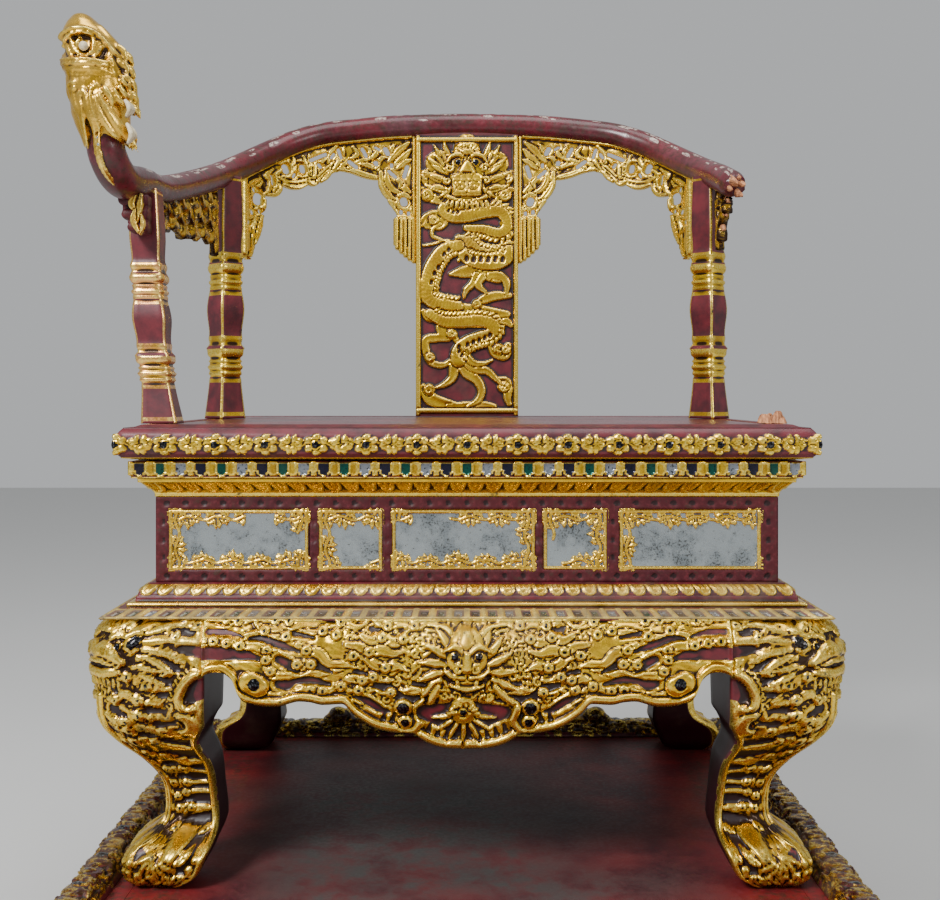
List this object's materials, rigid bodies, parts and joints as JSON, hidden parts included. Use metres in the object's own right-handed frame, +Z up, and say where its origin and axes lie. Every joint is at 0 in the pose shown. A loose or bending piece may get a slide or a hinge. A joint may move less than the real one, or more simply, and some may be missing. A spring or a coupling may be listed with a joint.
{
  "type": "ceremonial throne",
  "caption": "Carved, red-lacquered and gilded throne with dragon-headed horseshoe rail, mirrored seat box and cabriole legs, on a low platform; right arm broken off.",
  "frame": {"origin": "on the floor under the middle of the platform", "axes": "+Z up; the throne faces -Y; +X to the viewer's right when facing the throne; the throne stands towards the platform's back (+Y)"},
  "size_m": [0.92, 1.18, 1.221],
  "materials": {
    "lacquer": "dark red lacquer, satin, worn",
    "deck": "dark red lacquer, dull, dusty and worn",
    "gilt": "gold leaf over red lacquer, rubbed black on edges",
    "mirror": "old mirror, silvering gone in black specks",
    "cream": "painted cream, dull"
  },
  "bodies": {
    "root": {"leg_rear_right": "gilt", "leg_front_right": "gilt", "leg_rear_left": "gilt", "leg_front_left": "gilt", "apron_front": "gilt", "apron_rear": "gilt", "apron_left": "gilt", "apron_right": "gilt", "lower_moulding": "gilt", "waist_box": "lacquer", "mirror_front_1": "mirror", "panel_moulding_front_1": "gilt", "mirror_front_2": "mirror", "panel_moulding_front_2": "gilt", "mirror_front_3": "mirror", "panel_moulding_front_3": "gilt", "mirror_front_4": "mirror", "panel_moulding_front_4": "gilt", "mirror_front_5": "mirror", "panel_moulding_front_5": "gilt", "mirror_right_1": "mirror", "panel_moulding_right_1": "gilt", "mirror_right_2": "mirror", "panel_moulding_right_2": "gilt", "mirror_right_3": "mirror", "panel_moulding_right_3": "gilt", "mirror_left_1": "mirror", "panel_moulding_left_1": "gilt", "mirror_left_2": "mirror", "panel_moulding_left_2": "gilt", "mirror_left_3": "mirror", "panel_moulding_left_3": "gilt", "upper_moulding": "gilt", "seat_board": "lacquer", "dragon_tusk_upper": "cream", "dragon_tusk_lower": "cream", "dragon_pearl": "cream", "arm_rail": "lacquer", "post_front_left": "lacquer", "post_rear_left": "lacquer", "post_rear_right": "lacquer", "post_stump_front_right": "lacquer", "splat": "gilt", "back_spandrel_left": "gilt", "back_spandrel_right": "gilt", "pendant_left": "gilt", "pendant_right": "gilt", "side_spandrel_left": "gilt", "side_spandrel_right_broken": "gilt", "front_bracket_left": "lacquer", "platform": "deck", "platform_rim_left": "gilt", "platform_rim_right": "gilt", "platform_rim_rear": "gilt"}
  },
  "joints": []
}
